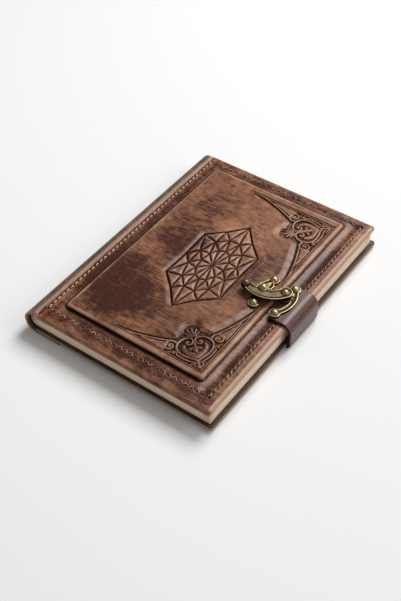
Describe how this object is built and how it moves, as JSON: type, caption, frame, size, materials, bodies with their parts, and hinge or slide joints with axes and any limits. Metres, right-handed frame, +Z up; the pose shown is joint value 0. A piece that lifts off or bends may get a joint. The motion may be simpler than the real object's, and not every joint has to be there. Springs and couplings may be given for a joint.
{
  "type": "leather notebook",
  "caption": "Hardcover leather notebook with a raised, carved front cover, a rounded spine, and a strap with a brass swing-arm clasp that holds it shut.",
  "frame": {"origin": "on the surface it lies on, under the middle of its box", "axes": "+X from the spine to the fore edge, +Y from tail to head, +Z up out of the front cover"},
  "size_m": [0.1656, 0.216, 0.0302],
  "materials": {
    "cover_leather": "mottled brown, worn lighter on raised edges, soft sheen",
    "spine_leather": "dark brown, soft sheen",
    "strap_leather": "smooth red-brown",
    "lining": "matt dark brown",
    "board": "matt",
    "pages": "cream, uncoated",
    "thread": "waxed thread",
    "aged_brass": "dark patina with bright edges",
    "polished_brass": "rubbed brighter on the domes"
  },
  "bodies": {
    "pages": {"text_block": "pages", "spine_leather": "spine_leather", "spine_liner": "lining"},
    "back_cover": {"back_leather": "cover_leather", "back_board": "board", "back_lining": "lining", "back_stitches": "thread", "back_flap": "spine_leather", "strap_tail": "strap_leather", "strap_tail_stitches": "thread"},
    "front_cover": {"front_leather": "cover_leather", "front_board": "board", "panel_board": "board", "front_lining": "lining", "hinge_flap": "spine_leather", "front_stitches": "thread", "catch_plate": "aged_brass", "catch_rivets": "polished_brass", "catch_post": "polished_brass", "catch_washers": "aged_brass"},
    "strap_band": {"strap": "strap_leather", "strap_plate": "aged_brass", "strap_rivets": "polished_brass", "strap_washers": "aged_brass", "arm_pin": "polished_brass"},
    "swing_arm": {"clasp_arm": "aged_brass"}
  },
  "joints": [
    {"name": "front_hinge", "type": "hinge", "parent": "pages", "child": "front_cover", "pos_m": [-0.07465, 0, 0.0197], "axis": [0, -1, 0], "range_deg": [0, 178]},
    {"name": "back_hinge", "type": "hinge", "parent": "pages", "child": "back_cover", "pos_m": [-0.07465, 0, 0], "axis": [0, 1, 0], "range_deg": [0, 178]},
    {"name": "strap_fold", "type": "hinge", "parent": "back_cover", "child": "strap_band", "pos_m": [0.08175, 0, 0.001], "axis": [0, 1, 0], "range_deg": [0, 90]},
    {"name": "arm_pivot", "type": "hinge", "parent": "strap_band", "child": "swing_arm", "pos_m": [0.06365, 0.0036, 0.027], "axis": [0, 0, 1], "range_deg": [0, 90]}
  ]
}
